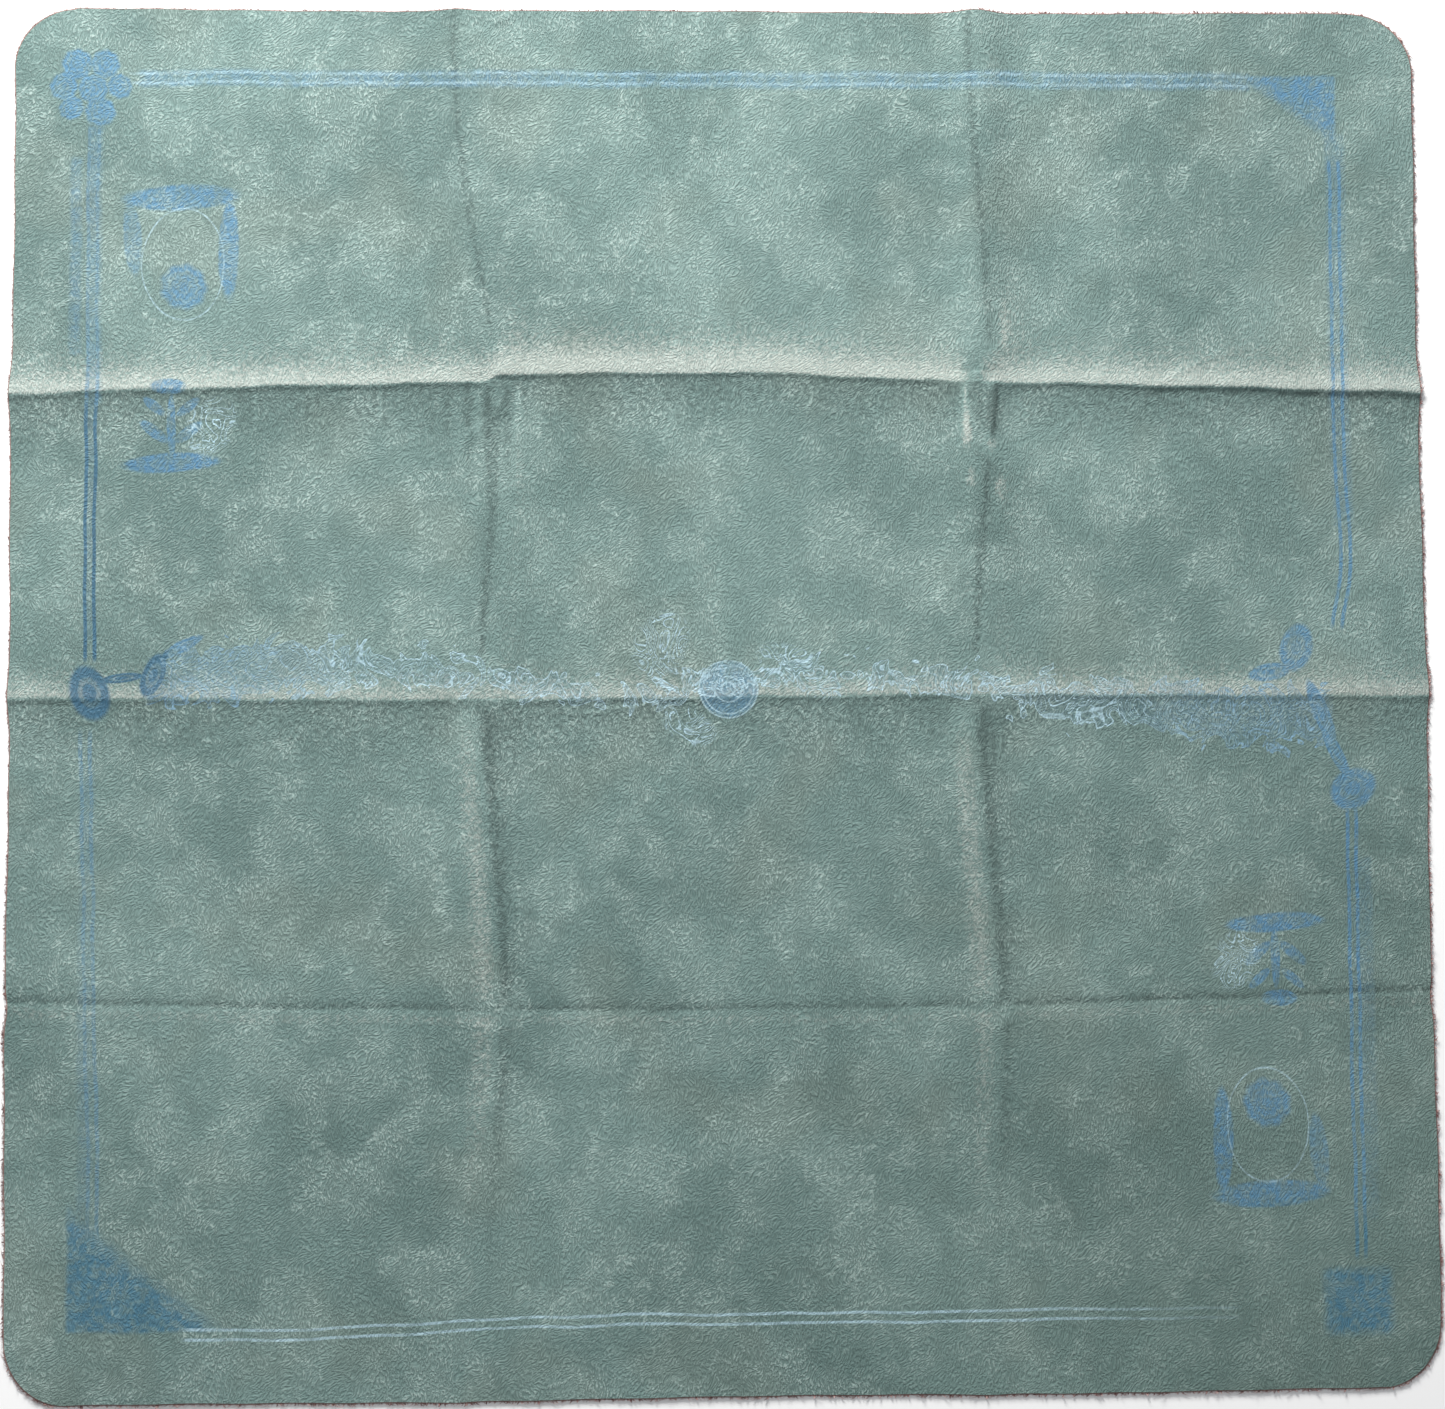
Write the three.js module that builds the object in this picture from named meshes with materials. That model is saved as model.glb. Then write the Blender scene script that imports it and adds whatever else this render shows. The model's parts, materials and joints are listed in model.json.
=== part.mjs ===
// A soft folding game mat: one sheet of embossed, printed facing bonded to a brushed backing.
// Five fold lines divide it into four rows of three panels, and each panel is one rigid slab
// of facing on one rigid slab of backing. Millimetres, +Z up, underside of the backing at z = 0,
// +X to the right of the printed face, +Y to its top edge.
import * as THREE from "three";

// Whole mat
const WIDTH = 500;
const DEPTH = 490;
const CORNER_RADIUS = 22;
const CORNER_STEPS = 10;

// Thickness of the two bonded layers, and the glue line between them
const BACKING_THICKNESS = 0.4;
const FACING_THICKNESS = 0.28;
const GLUE_LINE = 0.02;

// Fold lines: the gap is what opens each one into a free hinge
const LEFT_FOLD_X = -82;
const RIGHT_FOLD_X = 93;
const TOP_FOLD_Y = 113;
const MIDDLE_FOLD_Y = 0;
const BOTTOM_FOLD_Y = -109;
const FOLD_GAP = 0.3;

const FACING_COLOUR = 0x6f9a8c;
const BACKING_COLOUR = 0xb08a80;

const COLUMNS = [
  { name: "left", low: -WIDTH / 2, high: LEFT_FOLD_X },
  { name: "centre", low: LEFT_FOLD_X, high: RIGHT_FOLD_X },
  { name: "right", low: RIGHT_FOLD_X, high: WIDTH / 2 },
];

const ROWS = [
  { name: "top", low: TOP_FOLD_Y, high: DEPTH / 2 },
  { name: "upper", low: MIDDLE_FOLD_Y, high: TOP_FOLD_Y },
  { name: "lower", low: BOTTOM_FOLD_Y, high: MIDDLE_FOLD_Y },
  { name: "bottom", low: -DEPTH / 2, high: BOTTOM_FOLD_Y },
];

// A panel stops half the gap short of each fold line, and runs out to the mat's own edges.
function trimmedSpan(low, high, size) {
  const start = low > -size / 2 ? low + FOLD_GAP / 2 : low;
  const end = high < size / 2 ? high - FOLD_GAP / 2 : high;
  return { start, end };
}

// Outline of one panel: a rectangle, with a round corner where it holds a corner of the mat.
function panelOutline(column, row) {
  const x = trimmedSpan(column.low, column.high, WIDTH);
  const y = trimmedSpan(row.low, row.high, DEPTH);
  const left = x.start === -WIDTH / 2;
  const right = x.end === WIDTH / 2;
  const bottom = y.start === -DEPTH / 2;
  const top = y.end === DEPTH / 2;
  const quarter = Math.PI / 2;
  const outline = new THREE.Shape();
  const corner = (px, py, inX, inY, isRound, startAngle) => {
    if (isRound) {
      outline.absarc(
        px + inX * CORNER_RADIUS,
        py + inY * CORNER_RADIUS,
        CORNER_RADIUS,
        startAngle,
        startAngle + quarter,
        false,
      );
    } else {
      outline.lineTo(px, py);
    }
  };
  // Anticlockwise from the middle of the lower side
  outline.moveTo((x.start + x.end) / 2, y.start);
  corner(x.end, y.start, -1, 1, right && bottom, -quarter);
  corner(x.end, y.end, -1, -1, right && top, 0);
  corner(x.start, y.end, 1, -1, left && top, quarter);
  corner(x.start, y.start, 1, 1, left && bottom, 2 * quarter);
  outline.closePath();
  return outline;
}

function slab(name, outline, bottomZ, thickness, material) {
  const geometry = new THREE.ExtrudeGeometry(outline, {
    depth: thickness,
    bevelEnabled: false,
    curveSegments: CORNER_STEPS,
  });
  const mesh = new THREE.Mesh(geometry, material);
  mesh.name = name;
  mesh.position.z = bottomZ;
  return mesh;
}

function backingMaterial() {
  return new THREE.MeshStandardMaterial({
    color: BACKING_COLOUR,
    roughness: 0.95,
    metalness: 0,
  });
}

function facingMaterial() {
  return new THREE.MeshStandardMaterial({
    color: FACING_COLOUR,
    roughness: 0.7,
    metalness: 0,
  });
}

// One panel: the printed facing lies on the brushed backing.
function panel(column, row) {
  const group = new THREE.Group();
  const place = row.name + "_" + column.name;
  const outline = panelOutline(column, row);
  const facingZ = BACKING_THICKNESS + GLUE_LINE;
  group.add(slab("backing_" + place, outline, 0, BACKING_THICKNESS, backingMaterial()));
  group.add(slab("facing_" + place, outline, facingZ, FACING_THICKNESS, facingMaterial()));
  return group;
}

const mat = new THREE.Group();
for (const row of ROWS) {
  for (const column of COLUMNS) {
    mat.add(panel(column, row));
  }
}

export default mat;
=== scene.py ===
# A soft folding game mat, lying open on a table after being stored folded. It is one sheet of
# embossed faux suede with a faded blue print, bonded to a brushed cloth backing and cut with a
# raw edge. Five creases divide it, and it folds up along them. Metres, as in the CAD frame.
import json

import bpy
import numpy as np
from mathutils import Euler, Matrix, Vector


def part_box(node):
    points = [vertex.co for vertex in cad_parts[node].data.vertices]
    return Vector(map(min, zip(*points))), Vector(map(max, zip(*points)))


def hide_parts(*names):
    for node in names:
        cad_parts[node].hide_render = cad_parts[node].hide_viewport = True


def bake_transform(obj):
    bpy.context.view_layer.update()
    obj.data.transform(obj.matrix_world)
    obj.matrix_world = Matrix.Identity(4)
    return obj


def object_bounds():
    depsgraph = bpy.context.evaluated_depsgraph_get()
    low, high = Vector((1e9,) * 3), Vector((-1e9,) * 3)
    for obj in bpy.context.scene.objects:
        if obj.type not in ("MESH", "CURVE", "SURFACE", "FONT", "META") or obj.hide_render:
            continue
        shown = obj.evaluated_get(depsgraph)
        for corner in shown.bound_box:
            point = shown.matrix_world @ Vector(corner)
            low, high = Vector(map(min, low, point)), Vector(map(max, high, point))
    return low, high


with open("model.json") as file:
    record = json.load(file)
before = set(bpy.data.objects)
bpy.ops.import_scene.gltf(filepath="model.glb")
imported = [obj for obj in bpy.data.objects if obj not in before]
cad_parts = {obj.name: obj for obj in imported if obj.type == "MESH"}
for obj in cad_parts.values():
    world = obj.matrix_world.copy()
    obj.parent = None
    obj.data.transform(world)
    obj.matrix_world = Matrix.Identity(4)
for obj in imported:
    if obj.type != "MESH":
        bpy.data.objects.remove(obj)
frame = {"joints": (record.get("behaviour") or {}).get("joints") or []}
cad_low, cad_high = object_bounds()

# ---------------------------------------------------------------------------------------------
# Viewpoint, table and light. The mat is seen from almost straight above, from a little below
# its middle. One large soft window light stands past its top left edge and rakes across it.
# ---------------------------------------------------------------------------------------------
camera_data = bpy.data.cameras.new("overhead_camera")
camera_data.lens = 70  # mm
camera = bpy.data.objects.new("overhead_camera", camera_data)
camera.location = (-0.0369, -0.0727, 0.9878)
camera.rotation_euler = Euler((0.0696, -0.0364, -0.0073))
bpy.context.scene.collection.objects.link(camera)
bpy.context.scene.camera = camera
bpy.context.scene.view_settings.view_transform = "Standard"


def area_light(name, place, aim, size, watts, colour):
    """A square area light at place that faces the point aim."""
    data = bpy.data.lights.new(name, "AREA")
    data.size = size
    data.energy = watts
    data.color = colour
    light = bpy.data.objects.new(name, data)
    light.location = place
    direction = np.subtract(aim, place)
    light.rotation_euler = Vector(direction).to_track_quat("-Z", "Y").to_euler()
    bpy.context.scene.collection.objects.link(light)


area_light("window_light", place=(-0.30, 1.07, 0.56), aim=(0, 0, 0), size=0.42, watts=33,
           colour=(1.0, 0.99, 0.97))
area_light("ceiling_fill", place=(-0.25, 0.25, 2.0), aim=(0, 0, 0), size=2.0, watts=12,
           colour=(0.98, 0.99, 1.0))

room = bpy.data.worlds.new("room")
room.use_nodes = True
room_light = room.node_tree.nodes["Background"]
room_light.inputs["Color"].default_value = (0.92, 0.95, 1.0, 1)
room_light.inputs["Strength"].default_value = 0.2
bpy.context.scene.world = room

table_mesh = bpy.data.meshes.new("table_top")
table_reach = 4.0
gap_under_mat = 0.0002
table_level = cad_low[2] - gap_under_mat
table_mesh.from_pydata(
    [(-table_reach, -table_reach, table_level), (table_reach, -table_reach, table_level),
     (table_reach, table_reach, table_level), (-table_reach, table_reach, table_level)],
    [], [(0, 1, 2, 3)])
table_top = bpy.data.objects.new("table_top", table_mesh)
bpy.context.scene.collection.objects.link(table_top)
table_paint = bpy.data.materials.new("white_table_paint")
table_paint.use_nodes = True
paint = table_paint.node_tree.nodes["Principled BSDF"]
paint.inputs["Base Color"].default_value = (0.93, 0.93, 0.93, 1)
paint.inputs["Roughness"].default_value = 0.8
table_mesh.materials.append(table_paint)

# ---------------------------------------------------------------------------------------------
# Printed facing: embossed faux suede, 0.28 mm thick, cut square with round corners. It lies in
# three columns of three strips, and each strip bends at one of the crosswise creases.
# Creases keep the shape of the folded packet: two ridges and a valley across, two ridges along.
# ---------------------------------------------------------------------------------------------
MM = 0.001
half_width = cad_high[0] / MM
half_depth = cad_high[1] / MM
sheet_thickness = cad_high[2] / MM
facing_low, facing_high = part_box("facing_upper_centre")
facing_thickness = (facing_high[2] - facing_low[2]) / MM
joint_place = {j["name"]: j["pos_m"] for j in frame["joints"]}
left_fold = joint_place["left_fold"][0] / MM
right_fold = joint_place["right_fold"][0] / MM
top_fold = joint_place["top_fold"][1] / MM
middle_fold = joint_place["middle_fold"][1] / MM
bottom_fold = joint_place["bottom_fold"][1] / MM
left_hinge_height = joint_place["left_fold"][2] / MM
right_hinge_height = joint_place["right_fold"][2] / MM
corner_radius = 22.0


def smooth_step(value, low, high):
    """0 below low, 1 above high, and the cubic 3t^2 - 2t^3 between them."""
    t = np.clip((value - low) / (high - low), 0, 1)
    return t * t * (3 - 2 * t)


def crease_ridge(distance, gentle, steep):
    """A ridge of height 1 where distance is 0: exp(-(d / width)^1.6), with the gentle width on
    the side where distance is positive and the steep width on the other."""
    width = np.where(distance > 0, gentle, steep)
    return np.exp(-(np.abs(distance) / width) ** 1.6)


def centre_panel(x):
    """1 over the middle panel, with a sharp start at its left crease and a slow end."""
    return smooth_step(x, left_fold - 3, left_fold + 4) * smooth_step(-x, -95, -10)


def top_line(x):
    """y of the top crease: a shallow arch that steps up where it meets the left crease."""
    ripple = 0.25 * np.sin(x / 9.0) + 0.12 * np.sin(x / 3.7)
    return 111.2 - 4.6 * (x / 250) ** 2 + 2.9 * centre_panel(x) + ripple


def middle_line(x):
    """y of the middle crease: nearly straight, with a slow ripple."""
    return -1.4 + 0.5 * np.sin(x / 55.0) + 0.2 * np.sin(x / 8.0)


def bottom_line(x):
    """y of the bottom crease: a shallow sag."""
    return -111 + 4.7 * (x / 250) ** 2 + 0.2 * np.sin(x / 11.0)


def left_line(y):
    """x of the left crease: one slow wave, leaning left above the top crease."""
    return -82.5 + 3 * np.cos((y - 100) * 2 * np.pi / 205) - 0.09 * np.clip(y - 119, 0, None)


def right_line(y):
    """x of the right crease: one slow wave."""
    return 92.5 + 3.2 * np.cos((y + 122) * 2 * np.pi / 240)


def row_shares(y):
    """How far each row of panels holds at y, from 0 to 1: top, upper, lower, bottom."""
    in_top = smooth_step(y, 116, 128)
    in_upper = smooth_step(y, 4, 18) * smooth_step(-y, -108, -98)
    in_lower = smooth_step(y, -112, -102) * smooth_step(-y, 2, 12)
    in_bottom = smooth_step(-y, 110, 118) * (1 - 0.7 * smooth_step(-y, 120, 200))
    return in_top, in_upper, in_lower, in_bottom


def left_gathers(x, y, shift):
    """Small gathers 7 mm apart beside the left crossing, from -1 to 1: a cosine across them,
    moved sideways by shift mm, that fades out 15 mm from the fold and below the crossing."""
    near = np.exp(-((x - left_fold - 1) / 15) ** 2)
    near = near * smooth_step(y, 52, 100) * smooth_step(-y, -112, -104)
    return near * np.cos((x - left_fold + shift + 0.03 * y) * 2 * np.pi / 7)


def right_pleat(x, y):
    """The box pleat below the right crossing: distance from its middle, its half width, and how
    far it stands, from 0 to 1."""
    below = top_fold - 2 - y
    off = x - (right_fold - 1.0 - 0.02 * below)
    fade = smooth_step(below, -1, 3) * (1 - smooth_step(below, 17, 25))
    return off, 5.6 - 0.06 * below, fade


def rest_lift(x, y):
    """Height in mm of the sheet's underside above the table at each x, y in mm, before the
    lengthwise folds are brought to their hinges: the crosswise creases, the lengthwise creases,
    pinches where they cross, a slow undulation as a sum of long waves, and thin wrinkles."""
    near_crossing = np.exp(-((x - left_fold) / 5) ** 2) + np.exp(-((x - right_fold) / 7) ** 2)
    right_side = smooth_step(x, 60, 240)
    top_height = (0.62 + 0.6 * right_side) * (1 - 0.4 * near_crossing)
    top_gentle = 4.2 + 1.8 * centre_panel(x) + 1.2 * right_side
    lift = top_height * crease_ridge(y - top_line(x), top_gentle, 1.3)
    middle_height = (0.5 + 0.1 * right_side) * (1 - 0.4 * near_crossing)
    lift += middle_height * crease_ridge(y - middle_line(x), 4.6, 1.2)
    below_valley = y - bottom_line(x)
    trough = np.exp(-(np.abs(below_valley) / 2.4) ** 1.7)
    swell = np.exp(-((below_valley - 9) / 12) ** 2) + 0.8 * np.exp(-((below_valley + 11) / 13) ** 2)
    lift += 0.38 * swell * (1 - trough)

    in_top, in_upper, in_lower, in_bottom = row_shares(y)
    for line, strength in ((left_line(y), 1.0), (right_line(y), 0.9)):
        ridge = crease_ridge(line - x, 8.5, 3.0)
        valley = np.exp(-((x - line - 10) / 6) ** 2) + 0.7 * np.exp(-((x - line + 10) / 6) ** 2)
        lift += strength * (0.5 * in_lower + 0.35 * in_bottom) * ridge
        lift += strength * 0.35 * (in_upper + 0.8 * in_top) * valley

    # A box pleat with pinches under it below the right crossing, gathers at the left crossing,
    # and short three-armed star creases at all four
    off, pleat_half, fade = right_pleat(x, y)
    pleat_edges = crease_ridge(off + pleat_half, 2.4, 0.9) + crease_ridge(pleat_half - off, 2.4, 0.9)
    lift += 0.9 * fade * pleat_edges
    for lobe_x, lobe_y in ((-5.5, 80), (3.5, 82), (-3.0, 68), (6.5, 66)):
        from_lobe = ((x - right_fold - lobe_x) / 2.6) ** 2 + ((y - lobe_y) / 7.5) ** 2
        lift += 0.35 * np.exp(-from_lobe)
    lift += 0.13 * left_gathers(x, y, 0.0)
    # Each crossing's place and the size of its star
    stars = ((left_fold + 2, bottom_fold - 1, 1.0), (right_fold + 3, bottom_fold - 1, 1.1),
             (left_fold - 1, top_fold - 1, 1.2), (right_fold, top_fold + 6, 1.1))
    for star_x, star_y, size in stars:
        from_x = x - star_x
        from_y = y - star_y
        radius = np.hypot(from_x, from_y) + 1e-6
        points = 0.5 + 0.5 * np.cos(3 * np.arctan2(from_y, from_x) + star_x)
        fading = smooth_step(radius, 1, 5) * np.exp(-(radius / (9 * size)) ** 2)
        lift += 0.35 * size * points ** 3 * fading

    # A slow undulation, and thin curved wrinkles that mostly lean up to the right
    random = np.random.default_rng(11)
    wave_count = 16
    wrinkle_count = 170
    wave = np.zeros_like(x)
    for _ in range(wave_count):
        length = random.uniform(28, 110)
        angle = random.uniform(0, np.pi)
        phase = random.uniform(0, 2 * np.pi)
        run = x * np.cos(angle) + y * np.sin(angle)
        wave += np.sin(run * 2 * np.pi / length + phase) * length / 110
    lift += 0.12 + 0.035 * wave
    for _ in range(wrinkle_count):
        middle_x = random.uniform(-half_width, half_width)
        middle_y = random.uniform(-half_depth, half_depth)
        angle = random.normal(0.7, 0.55)
        length = random.uniform(6, 34)
        width = random.uniform(0.7, 1.5)
        bend = random.uniform(-0.012, 0.012)
        height = random.uniform(0.06, 0.2)
        along = (x - middle_x) * np.cos(angle) + (y - middle_y) * np.sin(angle)
        across = (y - middle_y) * np.cos(angle) - (x - middle_x) * np.sin(angle) + bend * along ** 2
        lift += height * np.exp(-(across / width) ** 2 - (along / length) ** 4)
    return lift


def crease_wear_and_shading(x, y):
    """How the creases are marked in the colour, about -1 to 1: pale where a ridge stands up, which is
    rubbed pile and a painted highlight on the slope that faces the light, and dark beside it, which is
    painted shade on the slope and the sheet turned away from the light. It is a sum of bell curves,
    exp(-(d / width)^2), and of crease_ridge, on the distance d from each crease."""
    right_side = smooth_step(x, 60, 240)
    from_top = y - top_line(x)
    from_middle = y - middle_line(x)
    from_bottom = y - bottom_line(x)
    # Top and middle ridges: a pale band above each crest, which is rubbed pile and a painted highlight
    # on the slope facing the light, and a dark band below it, which is painted shade
    top_width = 7.6 + 1.6 * centre_panel(x) + 1.0 * right_side
    wear_and_shading = (0.7 + 0.2 * centre_panel(x)) * crease_ridge(from_top, top_width, 0.5)
    wear_and_shading += 0.22 * crease_ridge(from_top, 20, 0.5)
    wear_and_shading += (0.5 + 0.2 * right_side) * crease_ridge(from_middle, 6.5, 0.5)
    wear_and_shading += 0.14 * crease_ridge(from_middle, 16, 0.5)
    wear_and_shading -= 0.42 * crease_ridge(-from_top, 17, 0.4) + 0.36 * crease_ridge(-from_middle, 18, 0.4)
    # Bottom crease: a thin dark line of painted shade on it, and a pale band of painted highlight just
    # below it
    wear_and_shading -= (0.3 + 0.15 * right_side) * np.exp(-((from_bottom - 0.6) / 1.3) ** 2)
    wear_and_shading += 0.22 * np.exp(-((from_bottom + 3.5) / 2.5) ** 2)
    in_top, in_upper, in_lower, in_bottom = row_shares(y)
    # Lengthwise creases: on the lower rows' ridges, a painted highlight on the left and painted shade on
    # the right for light from the left; in the upper rows, a line of painted shade in the valley
    for line in (left_line(y), right_line(y)):
        off = x - line
        ridge = 0.42 * np.exp(-((off + 5) / 4.4) ** 2) - 0.4 * np.exp(-((off - 2.2) / 2.6) ** 2)
        ridge -= 0.16 * np.exp(-((off - 8) / 6) ** 2)
        valley = 0.14 * np.exp(-((off - 8.5) / 5) ** 2) - 0.3 * np.exp(-(off / 1.5) ** 2)
        valley -= 0.12 * np.exp(-(off / 7) ** 2)
        wear_and_shading += (in_lower + 0.8 * in_bottom) * ridge + (in_upper + 0.9 * in_top) * valley
    # The gathers: pale and dark bands set off their relief, which are painted highlight and painted
    # shade
    wear_and_shading += 0.22 * left_gathers(x, y, 1.4)

    # The box pleat: a painted highlight on its left edge and painted shade on its right one, for light
    # from the left, a dark notch in the ridge above it, and pale spots about its end
    off, pleat_half, fade = right_pleat(x, y)
    wear_and_shading += 0.9 * fade * np.exp(-((off + pleat_half) / 0.8) ** 2)
    wear_and_shading -= 0.8 * fade * np.exp(-((off - pleat_half) / 0.7) ** 2)
    wear_and_shading -= 0.8 * np.exp(-((x - right_fold + 3) / 4) ** 2) * crease_ridge(from_top, 12, 0.5)
    for end_x, end_y, rub, reach in ((-6, 93, 0.9, 6), (2.4, 88.5, 1.0, 4), (-4.5, 76, 0.6, 4),
                                     (5.5, 73, 0.6, 4), (8, 131, 0.45, 9)):
        wear_and_shading += rub * np.exp(-((x - right_fold - end_x) / 2) ** 2 - ((y - end_y) / reach) ** 2)
    return np.clip(wear_and_shading, -1, 1)


def sheet_lift(x, y):
    """Height of the underside in mm: rest_lift, with a smooth hump exp(-(d / 9)^2) added about
    each lengthwise fold that brings the sheet there to the height of its hinge, less in the
    two lowest rows, which lie flat. It never goes below the table, and in the lower rows it is
    held under most_lift by L / (1 + (L / most)^6)^(1/6), so the bottom row folds on to them."""
    left_rise = left_hinge_height - sheet_thickness
    right_rise = right_hinge_height - sheet_thickness
    off_valley = 1 - np.exp(-((y - bottom_fold) / 9) ** 2)
    past_valley = smooth_step(y, bottom_fold, bottom_fold + 30)
    left_height = left_rise * (0.2 + 0.55 * past_valley + 0.25 * smooth_step(y, 20, 50))
    right_height = 0.15 + 0.35 * past_valley + (right_rise - 0.5) * smooth_step(y, 22, 92)
    lift = rest_lift(x, y)
    for fold, height in ((left_fold, left_height), (right_fold, right_height)):
        at_fold = rest_lift(np.full_like(x, fold), y)
        lift = lift + (height * off_valley - at_fold) * np.exp(-((x - fold) / 9) ** 2)

    # Limits in mm: 0.23 in the bottom row, 0.51 in the lower row, and free above the middle
    most_lift = 0.23 + 0.28 * smooth_step(y, -112, -106) + 8 * smooth_step(y, 24, 60)
    table_clearance = 0.02
    lift = np.maximum(lift, table_clearance)
    return lift / (1 + (lift / most_lift) ** 6) ** (1 / 6)


def graded_positions(low, high, lines, coarse, fine, spread):
    """Positions from low to high whose spacing is fine at each of the lines and grows to coarse
    away from them: equal steps of the running total of 1 / spacing."""
    samples = np.linspace(low, high, 4001)
    nearest = np.min([np.abs(samples - line) for line in lines], axis=0)
    spacing = coarse - (coarse - fine) * np.exp(-(nearest / spread) ** 2)
    total = np.concatenate([[0], np.cumsum(np.diff(samples) / spacing[1:])])
    count = int(np.ceil(total[-1])) + 1
    return np.interp(np.linspace(0, total[-1], count), total, samples)


def side_edge(side, y, inset):
    """x of the mat's cut edge on one side (-1 left, 1 right) at height y: nearly straight, out
    1 mm at the ridges, in 0.8 mm at the valley, and a quarter circle at each corner."""
    limit = half_depth - inset
    past = np.clip(np.abs(y) - (limit - corner_radius), 0, corner_radius)
    corner = corner_radius - np.sqrt(corner_radius ** 2 - past ** 2)
    ridges = np.exp(-((y - 108) / 9) ** 2) + np.exp(-((y + 1) / 9) ** 2)
    valley = np.exp(-((y - bottom_fold) / 5) ** 2)
    wave = 0.35 * np.sin(y / 31.0 + side) + 0.15 * np.sin(y / 7.0)
    straight = half_width - inset + 1.0 * ridges - 0.8 * valley + wave
    return side * (straight - corner)


def end_edge(end, x, inset):
    """y of the mat's cut edge at one end (-1 bottom, 1 top): straight but for a slow wave and a
    small peak where each lengthwise crease runs off it."""
    peaks = np.exp(-((x + 95) / 7) ** 2) + np.exp(-((x - 92) / 7) ** 2)
    wave = 0.3 * np.sin(x / 37.0 + 2 * end) + 0.12 * np.sin(x / 6.0)
    return end * (half_depth - inset + (0.9 if end > 0 else 0.3) * peaks + wave)


# Columns by their low and high x. Strips by their low and high y, the panels that each joins,
# and the fold that it bends at
columns = {"left": (-half_width, left_fold),
           "centre": (left_fold, right_fold),
           "right": (right_fold, half_width)}
upper_middle = (top_fold + middle_fold) / 2
lower_middle = (middle_fold + bottom_fold) / 2
strips = {"top": (upper_middle, half_depth, "upper", "top", "top_fold"),
          "middle": (lower_middle, upper_middle, "upper", "lower", "middle_fold"),
          "bottom": (-half_depth, lower_middle, "lower", "bottom", "bottom_fold")}


def laid_grid(column, strip, inset):
    """x and y of a strip's grid in mm. A rectangular grid is stretched so that its outer rows
    and columns follow the cut edge, and its inner ones stay on the fold lines."""
    low_x, high_x = columns[column]
    low_y, high_y = strips[strip][:2]
    upright_lines = (left_fold, right_fold, -half_width, half_width)
    level_lines = (top_fold - 1, middle_fold - 1, bottom_fold, -half_depth, half_depth)
    u = graded_positions(low_x, high_x, upright_lines, coarse=1.7, fine=0.75, spread=14)
    v = graded_positions(low_y, high_y, level_lines, coarse=1.7, fine=0.42, spread=9)
    x, y = np.meshgrid(u, v)
    end = 1 if strip == "top" else -1
    if strip != "middle":
        inner = low_y if end > 0 else high_y
        share = (y - inner) / (end * half_depth - inner)
        y = y + share ** 4 * (end_edge(end, x, inset) - end * half_depth)
    if column != "centre":
        side = -1 if column == "left" else 1
        fold = high_x if side < 0 else low_x
        share = (x - fold) / (side * half_width - fold)
        outer_y = np.clip(y, -half_depth + inset, half_depth - inset)
        x = fold + share * (side_edge(side, outer_y, inset) - fold)
    return x, y


def slab_mesh(name, x, y, bottom, top):
    """A closed thin slab over the grid x, y in mm: its top and bottom surfaces, and one wall
    round all four sides. The grid places are kept at each vertex as rest_place, in metres."""
    rows, cols = x.shape
    index = np.arange(rows * cols).reshape(rows, cols)
    upper = np.stack([x, y, top], -1).reshape(-1, 3)
    lower = np.stack([x, y, bottom], -1).reshape(-1, 3)
    places = np.concatenate([upper, lower]) * MM
    quads = np.stack([index[:-1, :-1], index[:-1, 1:], index[1:, 1:], index[1:, :-1]], -1).reshape(-1, 4)
    under = quads[:, ::-1] + rows * cols
    rim = np.concatenate([index[0, :], index[1:, -1], index[-1, -2::-1], index[-2:0:-1, 0]])
    after = np.roll(rim, -1)
    wall = np.stack([rim + rows * cols, after + rows * cols, after, rim], -1)
    faces = np.concatenate([quads, under, wall])
    mesh = bpy.data.meshes.new(name)
    mesh.vertices.add(len(places))
    mesh.vertices.foreach_set("co", places.astype(np.float32).ravel())
    mesh.loops.add(faces.size)
    mesh.loops.foreach_set("vertex_index", faces.astype(np.int32).ravel())
    mesh.polygons.add(len(faces))
    mesh.polygons.foreach_set("loop_start", np.arange(0, faces.size, 4, dtype=np.int32))
    smooth = np.ones(len(faces), bool)
    smooth[len(quads) * 2:] = False
    mesh.polygons.foreach_set("use_smooth", smooth)
    mesh.update(calc_edges=True)
    ends = np.empty(len(mesh.edges) * 2, np.int32)
    mesh.edges.foreach_get("vertices", ends)
    on_rim = np.zeros(len(places), bool)
    on_rim[rim] = True
    on_rim[rim + rows * cols] = True
    sharp = mesh.attributes.new("sharp_edge", "BOOLEAN", "EDGE")
    sharp.data.foreach_set("value", on_rim[ends.reshape(-1, 2)].all(1))
    kept = mesh.attributes.new("rest_place", "FLOAT_VECTOR", "POINT")
    kept.data.foreach_set("vector", places.astype(np.float32).ravel())
    return mesh


def add_piece(name, mesh, material):
    """Links the mesh to the scene as an object that stands at the origin."""
    mesh.materials.append(material)
    piece = bpy.data.objects.new(name, mesh)
    bpy.context.scene.collection.objects.link(piece)
    return piece


def fold_with_mat(piece):
    """Bakes the piece's transform into its mesh."""
    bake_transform(piece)


def add_node(tree, kind, **settings):
    """A shader node of that kind, with each named setting on the node or on its input."""
    made = tree.nodes.new(kind)
    for key, value in settings.items():
        if key in made.inputs:
            if hasattr(value, "is_output"):
                tree.links.new(value, made.inputs[key])
            else:
                made.inputs[key].default_value = value
        else:
            setattr(made, key, value)
    return made


def maths(tree, operation, *values):
    """One Math node over sockets or numbers."""
    made = tree.nodes.new("ShaderNodeMath")
    made.operation = operation
    for socket, value in zip(made.inputs, values):
        if hasattr(value, "is_output"):
            tree.links.new(value, socket)
        else:
            socket.default_value = value
    return made.outputs[0]


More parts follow.
